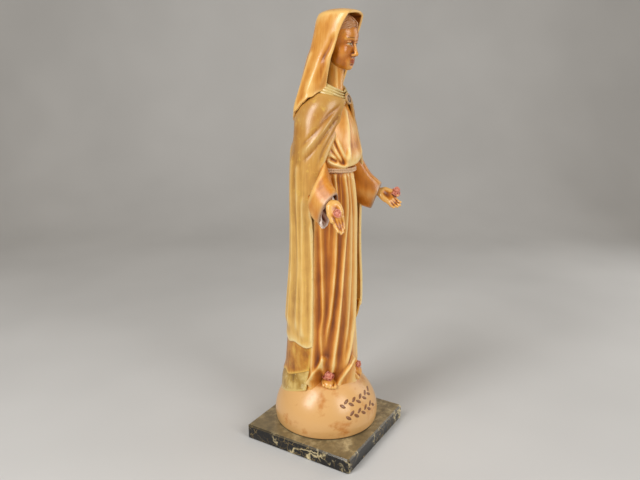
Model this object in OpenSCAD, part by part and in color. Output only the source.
// Standing robed figure on a rounded mound, bolted to a square marble plinth.
// Millimetres. +Z up, origin at the centre of the underside, the figure faces -Y.

/* [Plinth] */
// Side of the square marble slab
plinth_side = 150; // [150:1:200]
// Thickness of the marble slab
plinth_t = 17.6; // [16:0.1:24]
// Polished chamfer round the top edge of the slab
plinth_chamfer = 1.8; // [0.5:0.1:3]
// Chamfer on the four upright corners of the slab
corner_chamfer = 2.2; // [0.5:0.1:5]
// Thickness of the felt sheet under the slab
felt_t = 1.2; // [0.8:0.1:2]
// How far the felt stays inside the edge of the slab
felt_inset = 4; // [2:0.5:10]

/* [Fixing] */
// Radius of the bolt that holds the figure to the slab
bolt_r = 4; // [3:0.25:5]
// Free space round the bolt in the slab
bolt_clearance = 0.5; // [0.3:0.1:1]
// Width across the flats of the bolt's head
bolt_flats = 13; // [12:0.5:16]
// Height of the bolt's head
bolt_head_h = 5.3; // [4:0.1:6]
// Outer radius of the washer
washer_r = 10; // [9.5:0.5:12]
// Thickness of the washer
washer_t = 1.6; // [1:0.1:2.5]
// Free space round the washer in its counterbore
washer_clearance = 1.5; // [1:0.25:3]
// Radius of the hardwood plug cast into the mound
plug_r = 14; // [10:0.5:18]
// Height of the hardwood plug
plug_h = 34; // [24:1:38]
// Length of thread held by the plug
thread_hold = 26; // [18:1:30]

/* [Mound] */
// Greatest radius of the mound
mound_r = 67.5; // [56:0.5:74]
// Height of the mound above the slab
mound_h = 73; // [60:1:86]
// How far the mound swells out above its foot
mound_swell = 1.6; // [0:0.1:3]
// Squareness of the mound's shoulder, 2 is a round one
mound_power = 1.9; // [1.7:0.1:2.6]

/* [Figure] */
// Height of the figure from where it stands in the mound to the top of the veil
figure_h = 441; // [367:1:530]
// Width of the mantle across the elbows
figure_w = 100; // [84:1:120]
// Depth of the mantle at the elbows
figure_d = 74; // [62:1:90]
// Thickness of the mantle and the veil
cloth_t = 4; // [3:0.25:5]
// Radius of the double cord belt
belt_r = 2.6; // [2:0.1:3.5]

/* [Armature] */
// Radius of the upright steel rod in the body
rod_r = 3; // [2:0.25:4]
// Radius of the iron wire in each arm
wire_r = 1.2; // [0.8:0.1:1.6]
// Free space between the armature and the cast round it
cast_gap = 0.3; // [0.2:0.05:0.6]

/* [Roses] */
// Radius of the roses in the hands
hand_rose_r = 5.2; // [4:0.1:6.5]
// Radius of the roses on the feet
foot_rose_r = 6; // [5:0.1:7]

/* [Hidden] */

SKIN = "#e8a765";
ROBE = "#d98a45";
OLIVE = "#b39a4c";
HONEY = "#e3a659";
ROSE = "#c77a68";

// Sides of a round section in a sculpted piece, of a bore through one, of a ball in one,
// of a turned part and of the mound
ROUND = 28;
BORE = 48;
BALL = 10;
TURNED = 64;
MOUND_SIDES = 96;
// Thickness of the discs between which sculpted pieces are stretched
DISC = 0.02;
// How far a cutter runs past the face that it opens
PAST = 1;

slab_z = felt_t;
slab_top = felt_t + plinth_t;
mound_top = slab_top + mound_h;
// The mound stands a little off the middle of the slab
MOUND_X = 5;
MOUND_Y = 3.6;
// How far the figure stands into the mound's crown
SINK = 7;
stand_z = mound_top - SINK;

// The figure is laid out on a standard one and scaled from it. Its heights count from
// where it stands.
STANDARD_H = 441;
STANDARD_W = 100;
STANDARD_D = 74;
kx = figure_w / STANDARD_W;
ky = figure_d / STANDARD_D;
kz = figure_h / STANDARD_H;
function at(p) = [p[0] * kx, p[1] * ky, stand_z + p[2] * kz];

// Upright sections of the cloth: height, middle in X and Y, half width, half depth
MANTLE_LEVELS = [
    [-40, 0, 9, 48, 55], [-20, 0, 9, 47.5, 53.5], [40, 0, 8, 47.5, 50.5], [95, 0, 7, 47, 45.5],
    [160, 0, 5, 46.5, 40], [205, 0, 4.5, 48, 37.5], [237, 0, 4, 50, 37],
    [275, 0, 4, 48.5, 36], [308, 0, 4, 45, 34], [325, 0, 4, 41, 32], [340, 0, 1, 33, 28],
    [350, 0, -2, 22, 21]
];
SKIRT_LEVELS = [
    [-40, 1, -3, 44, 42], [0, 1, -3, 41, 38.5], [35, 1, -3, 39, 36.5], [90, 0, -3, 37, 33],
    [165, 0, -3, 35, 31], [225, 0, -4, 32, 30], [262, 0, -5, 28.5, 28], [267, 0, -5, 27, 27]
];
BODICE_LEVELS = [
    [267, 0, -5, 27, 27], [272, 0, -6, 31, 32], [285, 0, -5, 34, 33], [310, 0, -3, 36, 31],
    [328, 0, -1, 34, 26], [343, 0, 0, 25, 20], [352, 0, -1, 16, 15]
];
VEIL_LEVELS = [
    [296, 0, 5, 48.5, 37.5], [322, 0, 4.5, 46, 35], [344, 0, 3, 38, 33], [372, 0, -2, 31, 31],
    [398, 0, -8, 26, 30], [418, 0, -12, 23, 28], [430, 0, -13.5, 20.5, 26.5],
    [437, 0, -15, 17, 23], [441, 0, -15.5, 11, 16]
];
HEAD_CAVITY = [
    [290, 0, 4.5, 44, 33], [318, 0, 4, 41, 31], [338, 0, 0, 31, 28.5], [352, 0, -4, 23, 25],
    [368, 0, -10, 20, 26], [398, 0, -14, 19.5, 26], [420, 0, -15, 18, 24], [434, 0, -16, 14, 20]
];

// Where the opening of the mantle lies: height, half width, depth of its edge in Y
MANTLE_OPENING = [
    [-60, 70, -6], [120, 70, -8], [190, 70, -9], [222, 70, -10], [262, 44, -12],
    [300, 24, -14], [336, 6, -15], [352, 4.5, -15]
];

// Head: middle of the skull, radius of the skull and place of the chin
SKULL = [0, -12, 404];
SKULL_R = [18, 21.5, 22.5];
CHIN = [0, -27, 376];
NECK_LEVELS = [
    [340, 0, -5, 16, 15], [350, 0, -7, 12.5, 13], [365, 0, -9, 11, 12], [384, 0, -11, 11.5, 12.5]
];

// Middle lines of the arms on the figure's right; the left arm is held a little higher
RIGHT_ARM = [[-26, 0, 318], [-37, 2, 305], [-41, 1, 262], [-45, -6, 240], [-54, -26, 228]];
LEFT_ARM = [[26, 0, 318], [37, 2, 305], [41, 0, 264], [45, -10, 242], [52, -30, 226]];
ARM_RADII = [11, 12.5, 12, 13, 13.5];
RIGHT_WRIST = [-59, -36, 229];
LEFT_WRIST = [56, -43, 221];
RIGHT_TIP = [-61, -62, 200];
LEFT_TIP = [62, -69, 213];
// Lowest point of each hanging sleeve mouth
RIGHT_DROP = [-57, -13, 204];
LEFT_DROP = [49, -20, 204];

// ---- helpers -----------------------------------------------------------------

// A thin elliptical disc at one level of a garment, grown outwards by a thickness
module disc(level, grow = 0) {
    translate(at([level[1], level[2], level[0]]))
        scale([level[3] * kx + grow, level[4] * ky + grow, 1])
            cylinder(r = 1, h = DISC, $fn = ROUND);
}

// A garment stretched from disc to disc
module stack(levels, grow = 0) {
    for (i = [0 : len(levels) - 2])
        hull() {
            disc(levels[i], grow);
            disc(levels[i + 1], grow);
        }
}

// A ball on the standard figure's coordinates
module ball(p, r) {
    translate(at(p))
        sphere(r = r, $fn = BALL);
}

// A limb stretched from ball to ball
module limb(points, radii) {
    for (i = [0 : len(points) - 2])
        hull() {
            ball(points[i], radii[i]);
            ball(points[i + 1], radii[i + 1]);
        }
}

// Share of the mound's height that lies below its widest ring, and steps up its side
MOUND_FOOT = 0.14;
MOUND_STEPS = 24;

// Outline of the mound from its foot to its crown
function mound_outline() = let (foot = mound_h * MOUND_FOOT) concat(
    [[0, slab_top], [mound_r - mound_swell, slab_top]],
    [for (i = [0 : MOUND_STEPS])
        let (a = 90 * i / MOUND_STEPS)
        [mound_r * pow(cos(a), 2 / mound_power),
         slab_top + foot + (mound_h - foot) * pow(sin(a), 2 / mound_power)]]
);

module mound_body() {
    translate([MOUND_X, MOUND_Y, 0])
        rotate_extrude($fn = MOUND_SIDES)
            polygon(mound_outline());
}

// How far the space under the mound reaches down and out
UNDER_DEPTH = 60;
UNDER_REACH = 40;

// A solid that takes up all the mound and everything under it
module below_mound() {
    mound_body();
    translate([0, 0, slab_top - UNDER_DEPTH])
        cylinder(r = mound_r + UNDER_REACH, h = UNDER_DEPTH, $fn = TURNED);
}

// Points of a ring, and the faces that close a stack of rings at both ends
function ring(c, u, v, r, n) = [for (j = [0 : n - 1]) c + r * (cos(360 * j / n) * u + sin(360 * j / n) * v)];
function ring_faces(m, n) = concat(
    [for (i = [0 : m - 2], j = [0 : n - 1]) [i * n + j, (i + 1) * n + j, (i + 1) * n + (j + 1) % n]],
    [for (i = [0 : m - 2], j = [0 : n - 1]) [i * n + j, (i + 1) * n + (j + 1) % n, i * n + (j + 1) % n]],
    [[for (j = [0 : n - 1]) j]],
    [[for (j = [0 : n - 1]) (m - 1) * n + (n - 1 - j)]]
);
function unit(v) = v / norm(v);
function heading(p, i) = unit(p[min(i + 1, len(p) - 1)] - p[max(i - 1, 0)]);

// A wire swept along a line of points that never turns upright along X
module wire(points, r, sides = 8) {
    rings = [for (i = [0 : len(points) - 1])
        let (t = heading(points, i), u = unit(cross(t, [0, 1, 0.2])), v = cross(t, u))
        each ring(points[i], u, v, r, sides)];
    polyhedron(points = rings, faces = ring_faces(len(points), sides), convexity = 4);
}

// How deep the body rod stands in the plug
ROD_FOOT = 6;

// ---- plinth and fixing -------------------------------------------------------

// Free space between the bolt's head and the felt
HEAD_ROOM = 1;
// Free space round the bolt in the washer
WASHER_FIT = 0.2;
bolt_seat_z = slab_z + HEAD_ROOM + bolt_head_h + washer_t;
bore_r = bolt_r + bolt_clearance;
counterbore_r = washer_r + washer_clearance;

// The felt is glued on last and closes the counterbore
module felt_base() {
    side = plinth_side - 2 * felt_inset;
    color("#2f4a35")
        translate([-side / 2, -side / 2, 0])
            cube([side, side, felt_t]);
}

// The slab's outline with its corners cut off
module slab_outline(inset) {
    half = plinth_side / 2 - inset;
    cut = corner_chamfer;
    polygon([
        [-half + cut, -half], [half - cut, -half], [half, -half + cut], [half, half - cut],
        [half - cut, half], [-half + cut, half], [-half, half - cut], [-half, -half + cut]
    ]);
}

module marble_plinth() {
    color("#24231f")
        difference() {
            union() {
                translate([0, 0, slab_z])
                    linear_extrude(plinth_t - plinth_chamfer)
                        slab_outline(0);
                hull() {
                    translate([0, 0, slab_top - plinth_chamfer])
                        linear_extrude(DISC)
                            slab_outline(0);
                    translate([0, 0, slab_top - DISC])
                        linear_extrude(DISC)
                            slab_outline(plinth_chamfer);
                }
            }
            translate([0, 0, slab_z - PAST])
                cylinder(r = bore_r, h = plinth_t + 2 * PAST, $fn = TURNED);
            translate([0, 0, slab_z - PAST])
                cylinder(r = counterbore_r, h = bolt_seat_z - slab_z + PAST, $fn = TURNED);
        }
}

module bolt_washer() {
    color("silver")
        difference() {
            translate([0, 0, bolt_seat_z - washer_t])
                cylinder(r = washer_r, h = washer_t, $fn = TURNED);
            translate([0, 0, bolt_seat_z - washer_t - PAST])
                cylinder(r = bolt_r + WASHER_FIT, h = washer_t + 2 * PAST, $fn = TURNED);
        }
}

module plinth_bolt() {
    color("#8f8f8f") {
        head_z = bolt_seat_z - washer_t - bolt_head_h;
        translate([0, 0, head_z])
            cylinder(r = bolt_flats / sqrt(3), h = bolt_head_h, $fn = 6);
        translate([0, 0, head_z + bolt_head_h])
            cylinder(r = bolt_r, h = slab_top + thread_hold - head_z - bolt_head_h, $fn = BORE);
    }
}

module anchor_plug() {
    color("#a9794a")
        difference() {
            translate([0, 0, slab_top])
                cylinder(r = plug_r, h = plug_h, $fn = TURNED);
            translate([0, 0, slab_top - PAST])
                cylinder(r = bolt_r, h = thread_hold + PAST, $fn = BORE);
            translate([0, 0, slab_top + plug_h - ROD_FOOT])
                cylinder(r = rod_r, h = ROD_FOOT + PAST, $fn = BORE);
        }
}

// ---- mound -------------------------------------------------------------------

module mound() {
    color(SKIN)
        difference() {
            mound_body();
            translate([0, 0, slab_top - PAST])
                cylinder(r = plug_r, h = plug_h + PAST, $fn = TURNED);
            translate([0, 0, slab_top])
                cylinder(r = rod_r + cast_gap, h = mound_h + PAST, $fn = BORE);
        }
}

// ---- armature ----------------------------------------------------------------

// Height on the standard figure at which the body rod ends, inside the head
ROD_TOP = 412;
rod_top = at([0, 0, ROD_TOP])[2];

// A straight rod from the plug up the middle of the body into the head
module body_armature() {
    color("#6f6f6f")
        translate([0, 0, slab_top + plug_h - ROD_FOOT])
            cylinder(r = rod_r, h = rod_top - slab_top - plug_h + ROD_FOOT, $fn = BORE);
}

module rod_bore() {
    translate([0, 0, slab_top])
        cylinder(r = rod_r + cast_gap, h = rod_top - slab_top + cast_gap, $fn = BORE);
}

function right_wire_line() = [for (p = [
    [-9, 1, 321], [-26, 1, 318], [-36, 2, 308], [-40, 1, 285], [-42, -1, 258], [-47, -10, 238],
    [-54, -26, 230], [-59, -36, 229], [-61, -45, 221]]) at(p)];
function left_wire_line() = [for (p = [
    [9, 1, 321], [26, 1, 318], [36, 2, 308], [40, 0, 285], [42, -3, 258], [46, -14, 238],
    [52, -30, 225], [56, -43, 221], [58, -52, 220]]) at(p)];

module right_arm_wire() {
    color("#6f6f6f")
        wire(right_wire_line(), wire_r);
}

module left_arm_wire() {
    color("#6f6f6f")
        wire(left_wire_line(), wire_r);
}

module wire_bores() {
    wire(right_wire_line(), wire_r + cast_gap);
    wire(left_wire_line(), wire_r + cast_gap);
}

// ---- garments as plain volumes, before they are cut to each other -------------

// Upright pleats of the skirt: how many go round, how deep they are at the belt and hem
PLEATS = 13;
PLEAT_WAIST = 0.03;
PLEAT_HEM = 0.09;
PLEAT_SIDES = PLEATS * 4;

// One level of the skirt, with the pleats as waves of its radius
function skirt_ring(level) =
    let (drop = (267 - level[0]) / 267, wave = PLEAT_WAIST + (PLEAT_HEM - PLEAT_WAIST) * drop)
    [for (j = [0 : PLEAT_SIDES - 1])
        let (a = 360 * j / PLEAT_SIDES, r = 1 + wave * cos(a * PLEATS))
        at([level[1] + level[3] * r * cos(a), level[2] + level[4] * r * sin(a), level[0]])];

module skirt_volume() {
    polyhedron(
        points = [for (level = SKIRT_LEVELS) each skirt_ring(level)],
        faces = ring_faces(len(SKIRT_LEVELS), PLEAT_SIDES),
        convexity = 8
    );
}

// A sleeve runs down the arm, over the wrist and down to its hanging point
module sleeve_volume(arm, wrist, drop) {
    limb(arm, ARM_RADII);
    tail = len(arm) - 1;
    hull() {
        ball(arm[tail], ARM_RADII[tail]);
        ball(wrist + [0, 4, 3], 9);
    }
    hull() {
        ball(arm[tail], ARM_RADII[tail] - 2);
        ball(wrist + [0, 4, 2], 8);
        ball(drop, 5);
    }
}

// The open mouth of a sleeve, which faces forwards and down
module sleeve_mouth(wrist, drop) {
    hull() {
        ball(wrist + [0, -6, -2], 8);
        ball(wrist + [0, 5, 1], 6.5);
        ball(drop + [0, 1, 3], 2.6);
        ball(drop + [0, -8, -4], 4);
        ball(wrist + [0, -16, -14], 9);
    }
}

// The lining fills the sleeve's mouth round the wrist
module undersleeve_volume(wrist, drop) {
    hull() {
        ball(wrist + [0, 1, -1], 6);
        ball(wrist + [0, 7, 1], 6);
        ball(drop + [0, -2, 8], 2.5);
    }
    // Small pleats at the undersleeve's edge
    for (k = [-2 : 2])
        hull() {
            ball(wrist + [2.2 * k, 2, -5], 1.7);
            ball(drop + [1.2 * k, -3, 7], 1.4);
        }
}

// How far an opening reaches forwards from its edge
OPENING_REACH = 120;

module opening_slice(level) {
    half = level[1] * kx;
    translate([-half, level[2] * ky - OPENING_REACH, at([0, 0, level[0]])[2]])
        cube([2 * half, OPENING_REACH, DISC]);
}

// The open front of a garment, stretched from level to level
module front_opening(levels) {
    for (i = [0 : len(levels) - 2])
        hull() {
            opening_slice(levels[i]);
            opening_slice(levels[i + 1]);
        }
}

module mantle_opening() {
    front_opening(MANTLE_OPENING);
}

module mantle_shell() {
    difference() {
        stack(MANTLE_LEVELS);
        stack(MANTLE_LEVELS, -cloth_t);
        mantle_opening();
    }
}

// The block of space that the garments are cut from: its side, its foot and its height
SPACE_SIDE = 400;
SPACE_FOOT = -45;
SPACE_H = 460;

// All the space that is neither inside the mantle nor in its open front
module beyond_mantle() {
    difference() {
        translate([-SPACE_SIDE / 2, -SPACE_SIDE / 2, at([0, 0, SPACE_FOOT])[2]])
            cube([SPACE_SIDE, SPACE_SIDE, SPACE_H * kz]);
        stack(MANTLE_LEVELS, -cloth_t);
        mantle_opening();
    }
}

module hood_volume() {
    stack(VEIL_LEVELS);
}

// ---- robe --------------------------------------------------------------------

module robe_skirt() {
    color(ROBE)
        difference() {
            skirt_volume();
            beyond_mantle();
            below_mound();
            foot_volume(RIGHT_FOOT);
            foot_volume(LEFT_FOOT);
            rose_envelope(at(RIGHT_FOOT[1]), foot_rose_r);
            rose_envelope(at(LEFT_FOOT[1]), foot_rose_r);
            sleeve_volume(RIGHT_ARM, RIGHT_WRIST, RIGHT_DROP);
            sleeve_volume(LEFT_ARM, LEFT_WRIST, LEFT_DROP);
            belt_ring();
            rod_bore();
        }
}

module robe_bodice() {
    color(ROBE)
        difference() {
            union() {
                stack(BODICE_LEVELS);
                // The lobe of cloth that falls over the belt at the front
                hull() {
                    ball([-4, -34, 300], 3);
                    ball([12, -32, 300], 3);
                    ball([4, -35, 266], 3);
                }
                // The small loop of cloth over the belt on the figure's right
                hull() {
                    ball([-24, -24, 288], 4);
                    ball([-26, -22, 272], 4.5);
                }
            }
            beyond_mantle();
            belt_ring();
            skirt_volume();
            collar_volume();
            hood_volume();
            neck_volume();
            sleeve_volume(RIGHT_ARM, RIGHT_WRIST, RIGHT_DROP);
            sleeve_volume(LEFT_ARM, LEFT_WRIST, LEFT_DROP);
            rod_bore();
            wire_bores();
        }
}

// ---- belt --------------------------------------------------------------------

BELT_LEVEL = [267, 0, -5, 28, 28];
BELT_STEPS = 20;
BELT_SIDES = 8;
// The two rounds press into each other: their lift over the radius of the cord
BELT_LIFT = 0.8;

// One round of the cord at a height above or below the middle of the belt
module belt_cord(lift) {
    for (k = [0 : BELT_STEPS - 1])
        hull() {
            belt_bead(k, lift);
            belt_bead(k + 1, lift);
        }
}

module belt_bead(k, lift) {
    a = 360 * k / BELT_STEPS;
    spot = at([BELT_LEVEL[3] * cos(a), BELT_LEVEL[2] + BELT_LEVEL[4] * sin(a), BELT_LEVEL[0]]);
    translate(spot + [0, 0, lift])
        sphere(r = belt_r, $fn = BELT_SIDES);
}

module belt_ring() {
    belt_cord(-belt_r * BELT_LIFT);
    belt_cord(belt_r * BELT_LIFT);
}

module belt() {
    color("#c79a86")
        difference() {
            belt_ring();
            beyond_mantle();
            sleeve_volume(RIGHT_ARM, RIGHT_WRIST, RIGHT_DROP);
            sleeve_volume(LEFT_ARM, LEFT_WRIST, LEFT_DROP);
        }
}

// ---- sleeves -----------------------------------------------------------------

module sleeve(arm, wrist, drop) {
    color(ROBE)
        difference() {
            sleeve_volume(arm, wrist, drop);
            beyond_mantle();
            sleeve_mouth(wrist, drop);
            undersleeve_volume(wrist, drop);
            rod_bore();
            wire_bores();
        }
}

module right_sleeve() {
    sleeve(RIGHT_ARM, RIGHT_WRIST, RIGHT_DROP);
}

module left_sleeve() {
    sleeve(LEFT_ARM, LEFT_WRIST, LEFT_DROP);
}

module undersleeve(wrist, tip, side, drop) {
    color("#ecd2bd")
        difference() {
            undersleeve_volume(wrist, drop);
            hand_volume(wrist, tip, side);
            wire_bores();
        }
}

module right_undersleeve() {
    undersleeve(RIGHT_WRIST, RIGHT_TIP, -1, RIGHT_DROP);
}

module left_undersleeve() {
    undersleeve(LEFT_WRIST, LEFT_TIP, 1, LEFT_DROP);
}

// ---- mantle ------------------------------------------------------------------

// The lower layers of the mantle step out under its hem and reach the mound
HEM_Z = 52;
LAYER_Z = 12;

// All that lies below a height on the standard figure
module below(z) {
    translate([-SPACE_SIDE / 2, -SPACE_SIDE / 2, at([0, 0, z])[2] - SPACE_SIDE])
        cube([SPACE_SIDE, SPACE_SIDE, SPACE_SIDE]);
}

module mantle() {
    color(OLIVE)
        difference() {
            mantle_shell();
            below(HEM_Z);
            veil_edge_space(0, VEIL_CUT_H);
            hull()
                collar_volume();
        }
}

module mantle_underlayer() {
    color("#a98f42")
        difference() {
            intersection() {
                mantle_shell();
                below(HEM_Z);
            }
            below(LAYER_Z);
        }
}

module mantle_hem() {
    color("#c9a046")
        difference() {
            intersection() {
                mantle_shell();
                below(LAYER_Z);
            }
            below_mound();
        }
}

// ---- veil --------------------------------------------------------------------

// The veil's lower edge lies on a plane that slants down to the back, steeper on a
// figure that is taller for its depth
VEIL_HINGE = [0, -20, 350];
VEIL_SLANT = 38;
veil_slant = atan(tan(VEIL_SLANT) * kz / ky);
VEIL_CUT_SIDE = 200;
VEIL_CUT_H = 150;

// The space from the plane of the veil's edge up, or from a depth below up to it
module veil_edge_space(from, height) {
    translate(at(VEIL_HINGE))
        rotate([-veil_slant, 0, 0])
            translate([-VEIL_CUT_SIDE / 2, -VEIL_CUT_SIDE / 2, from])
                cube([VEIL_CUT_SIDE, VEIL_CUT_SIDE, height]);
}

module veil_shell() {
    difference() {
        hood_volume();
        stack(HEAD_CAVITY);
        face_opening();
        veil_edge_space(-VEIL_CUT_H, VEIL_CUT_H);
    }
}

// The hood's opening: height, half width, depth of its edge in Y
FACE_OPENING = [
    [330, 16, -8], [352, 17, -12], [380, 19, -16], [408, 19, -22], [425, 17, -29], [434, 14, -36]
];

module face_opening() {
    front_opening(FACE_OPENING);
}

module veil() {
    color(HONEY)
        difference() {
            veil_shell();
            collar_volume();
            hair_volume();
            head_volume();
            neck_volume();
        }
}

// ---- collar and brooch ---------------------------------------------------------

COLLAR_FOLDS = 3;
COLLAR_STEPS = 14;
COLLAR_BEAD_R = 2.7;

// A fold of the collar runs from the nape round to the brooch, dipping to the front
module collar_volume() {
    for (f = [0 : COLLAR_FOLDS - 1])
        for (k = [0 : COLLAR_STEPS - 1])
            hull() {
                collar_bead(f, k);
                collar_bead(f, k + 1);
            }
}

module collar_bead(f, k) {
    a = 360 * k / COLLAR_STEPS;
    dip = (1 - sin(a)) / 2;
    x = (18 + 2.2 * f) * cos(a);
    y = -6 + (15.5 + 2.3 * f) * sin(a);
    z = 357 - 3.6 * f - 9 * pow(dip, 2);
    translate(at([x, y, z]))
        scale([1, 1, kz])
            sphere(r = COLLAR_BEAD_R, $fn = 6);
}

module collar() {
    color("#a8935a")
        difference() {
            collar_volume();
            neck_volume();
            brooch_volume();
        }
}

// The brooch: its middle, half width, height over width, thickness, lean, the half width
// of its sunk field and how far the field's floor lies above the middle
BROOCH = [0, -26.5, 343];
BROOCH_R = 4.6;
BROOCH_OVAL = 1.25;
BROOCH_T = 3.4;
BROOCH_LEAN = 78;
FIELD_R = 2.9;
FIELD_FLOOR = 0.8;

// An upright oval disc at the brooch, from one depth for a thickness
module brooch_disc(r, from, thickness) {
    translate(at(BROOCH))
        rotate([BROOCH_LEAN, 0, 0])
            translate([0, 0, from])
                scale([1, BROOCH_OVAL, 1])
                    cylinder(r = r, h = thickness, $fn = 32);
}

module brooch_volume() {
    brooch_disc(BROOCH_R, -BROOCH_T / 2, BROOCH_T);
}

module brooch() {
    color("#7a5a33")
        difference() {
            brooch_volume();
            brooch_disc(FIELD_R, FIELD_FLOOR, BROOCH_T);
        }
}

// ---- head --------------------------------------------------------------------

module egg(middle, radii) {
    translate(at(middle))
        scale([radii[0] * kx, radii[1] * ky, radii[2] * kz])
            sphere(r = 1, $fn = 18);
}

// Skull, cheeks and jaw on plain proportions, with a simple nose
module head_volume() {
    hull() {
        egg(SKULL, SKULL_R - [2, 2, 2]);
        egg(SKULL + [0, -3, -6], [15, 17, 15]);
    }
    hull() {
        egg(SKULL + [0, -3, -6], [15, 17, 15]);
        egg(CHIN + [0, 4, 3], [6, 5, 4.5]);
        egg(CHIN + [0, 14, 8], [12, 8, 6]);
    }
    hull() {
        egg([0, -32, 397], [1.2, 1.5, 1.5]);
        egg([0, -34, 390], [2.2, 2.2, 1.8]);
    }
}

module hair_volume() {
    hull() {
        egg(SKULL + [0, 1, 1], SKULL_R);
        egg(SKULL + [0, 3, -8], [17.5, 18, 18]);
    }
}

module hair() {
    color("#7a4427")
        difference() {
            intersection() {
                hair_volume();
                stack(HEAD_CAVITY);
            }
            head_volume();
            rod_bore();
            face_window();
            neck_volume();
        }
}

// Clears the hair from in front of the face
module face_window() {
    for (k = [0 : 8])
        hull() {
            egg([0, -40, 380 + 4 * k], [13 - 0.6 * k, 18, 3]);
            egg([0, -40, 383 + 4 * k], [13 - 0.8 * k, 18, 3]);
        }
}

module head() {
    color(SKIN)
        difference() {
            union() {
                head_volume();
                for (side = [-1, 1])
                    for (k = [0 : 2])
                        hull() {
                            egg([side * (5 + 2 * k), -28.5 + k, 401], [1.5, 1, 0.8]);
                            egg([side * (7 + 2 * k), -28 + k, 400], [1.5, 1, 0.8]);
                        }
            }
            neck_volume();
            rod_bore();
        }
}

// The two muscles of the throat run from behind the jaw down to its pit
THROAT_LINE = [[11, -9, 378], [10, -14, 366], [7, -19, 355], [2.5, -21, 348]];
THROAT_R = 2.2;

module neck_volume() {
    stack(NECK_LEVELS);
    for (side = [-1, 1])
        for (i = [0 : len(THROAT_LINE) - 2])
            hull() {
                ball([side * THROAT_LINE[i][0], THROAT_LINE[i][1], THROAT_LINE[i][2]], THROAT_R);
                ball([side * THROAT_LINE[i + 1][0], THROAT_LINE[i + 1][1], THROAT_LINE[i + 1][2]], THROAT_R);
            }
}

module neck() {
    color(SKIN)
        difference() {
            neck_volume();
            rod_bore();
        }
}

// ---- hands -------------------------------------------------------------------

function mix(a, b, t) = a + (b - a) * t;

// The hand lies open with its palm forwards and up; side is -1 for the right hand
module hand_volume(wrist, tip, side) {
    palm = mix(wrist, tip, 0.42);
    knuckles = mix(wrist, tip, 0.58);
    hull() {
        ball(mix(wrist, tip, -0.2), 4.4);
        ball(wrist, 4.6);
    }
    hull() {
        ball(wrist, 4.6);
        ball(palm + [-3, 0, 0], 4);
        ball(palm + [3, 0, 0], 4);
    }
    hull() {
        ball(palm + [-3, 0, 0], 4);
        ball(palm + [3, 0, 0], 4);
        ball(knuckles + [-5, 0, 1], 2.8);
        ball(knuckles + [5, 0, 1], 2.8);
    }
    for (f = [0 : 3]) {
        start = knuckles + [side * (5 - 3.4 * f), 0, 1];
        stop = tip + [side * (4.5 - 3.2 * f), 0.8 * abs(f - 1.5), 2 * abs(f - 1.4)];
        middle = mix(start, stop, 0.5) + [0, 1, -2];
        hull() {
            ball(start, 2.3);
            ball(middle, 2.1);
        }
        hull() {
            ball(middle, 2.1);
            ball(stop, 1.6);
        }
    }
    thumb = mix(wrist, tip, 0.25) + [side * -5, 0, 2];
    hull() {
        ball(thumb, 3);
        ball(thumb + [side * -2, -7, 1], 2.4);
    }
    hull() {
        ball(thumb + [side * -2, -7, 1], 2.4);
        ball(thumb + [0, -13, -1], 1.8);
    }
}

// Place of the rose in the palm: share of the way from wrist to finger tips, and how far
// it stands off in front of the palm
PALM_SHARE = 0.45;
PALM_OFF = [0, -4.5, 6.5];
function palm_rose(wrist, tip) = at(mix(wrist, tip, PALM_SHARE)) + PALM_OFF;

module hand(wrist, tip, side) {
    color(SKIN)
        difference() {
            hand_volume(wrist, tip, side);
            rose_envelope(palm_rose(wrist, tip), hand_rose_r);
            wire_bores();
        }
}

module right_hand() {
    hand(RIGHT_WRIST, RIGHT_TIP, -1);
}

module left_hand() {
    hand(LEFT_WRIST, LEFT_TIP, 1);
}

// ---- roses -------------------------------------------------------------------

// The room a rose takes up in the piece it sits on, over the radius of the rose
ROSE_BED = 0.9;

module rose_envelope(spot, r) {
    translate(spot)
        sphere(r = r * ROSE_BED, $fn = 16);
}

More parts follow.
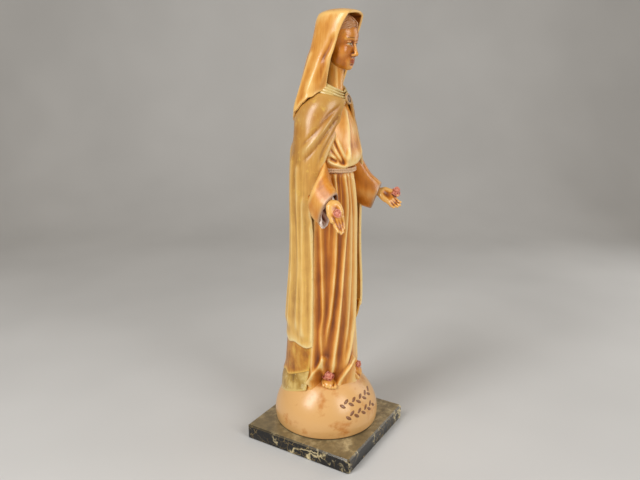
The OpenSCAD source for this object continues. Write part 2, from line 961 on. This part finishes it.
// A rose is a closed bud standing in two open whorls of petals
module rose(spot, r) {
    color(ROSE)
        translate(spot)
            rotate_extrude($fn = BORE)
                polygon([
                    [0, -r * 0.7], [r * 0.55, -r * 0.62], [r * 0.95, -r * 0.2], [r, r * 0.1],
                    [r * 0.8, 0], [r * 0.78, r * 0.42], [r * 0.55, r * 0.25], [r * 0.45, r * 0.7],
                    [r * 0.2, r * 0.85], [0, r * 0.75]
                ]);
}

module right_hand_rose() {
    rose(palm_rose(RIGHT_WRIST, RIGHT_TIP), hand_rose_r);
}

module left_hand_rose() {
    rose(palm_rose(LEFT_WRIST, LEFT_TIP), hand_rose_r);
}

// ---- feet --------------------------------------------------------------------

// Each foot: heel, instep under the rose, toes
RIGHT_FOOT = [[-12, 3, 2], [-22.5, -15.5, 5], [-28, -22, -5]];
LEFT_FOOT = [[12, -10, 2], [15, -36, 10], [19, -46, -4]];

module foot_volume(foot) {
    hull() {
        ball(foot[0], 8);
        ball(foot[1] - [0, -3, 7], 8);
    }
    hull() {
        ball(foot[1] - [0, -3, 7], 8);
        ball(mix(foot[1], foot[2], 0.8) + [-5, 0, -2], 4.5);
        ball(mix(foot[1], foot[2], 0.8) + [5, 0, -2], 4.5);
    }
    for (toe = [-2 : 2])
        hull() {
            ball(mix(foot[1], foot[2], 0.8) + [2.8 * toe, 0, -2], 3);
            ball(foot[2] + [3.1 * toe, abs(toe) * 0.8, -1], 2.4);
        }
    hull() {
        ball(foot[2] + [0, 6, -6], 6);
        ball(foot[2] + [0, 12, -8], 6);
    }
}

module foot(points) {
    color(SKIN)
        difference() {
            foot_volume(points);
            below_mound();
            rose_envelope(at(points[1]), foot_rose_r);
            rod_bore();
        }
}

module right_foot() {
    foot(RIGHT_FOOT);
}

module left_foot() {
    foot(LEFT_FOOT);
}

module right_foot_rose() {
    rose(at(RIGHT_FOOT[1]), foot_rose_r);
}

module left_foot_rose() {
    rose(at(LEFT_FOOT[1]), foot_rose_r);
}

felt_base();
marble_plinth();
plinth_bolt();
bolt_washer();
anchor_plug();
mound();
body_armature();
right_arm_wire();
left_arm_wire();
robe_skirt();
robe_bodice();
belt();
right_sleeve();
left_sleeve();
right_undersleeve();
left_undersleeve();
mantle();
mantle_underlayer();
mantle_hem();
collar();
brooch();
neck();
head();
hair();
veil();
right_hand();
left_hand();
right_hand_rose();
left_hand_rose();
right_foot();
left_foot();
right_foot_rose();
left_foot_rose();
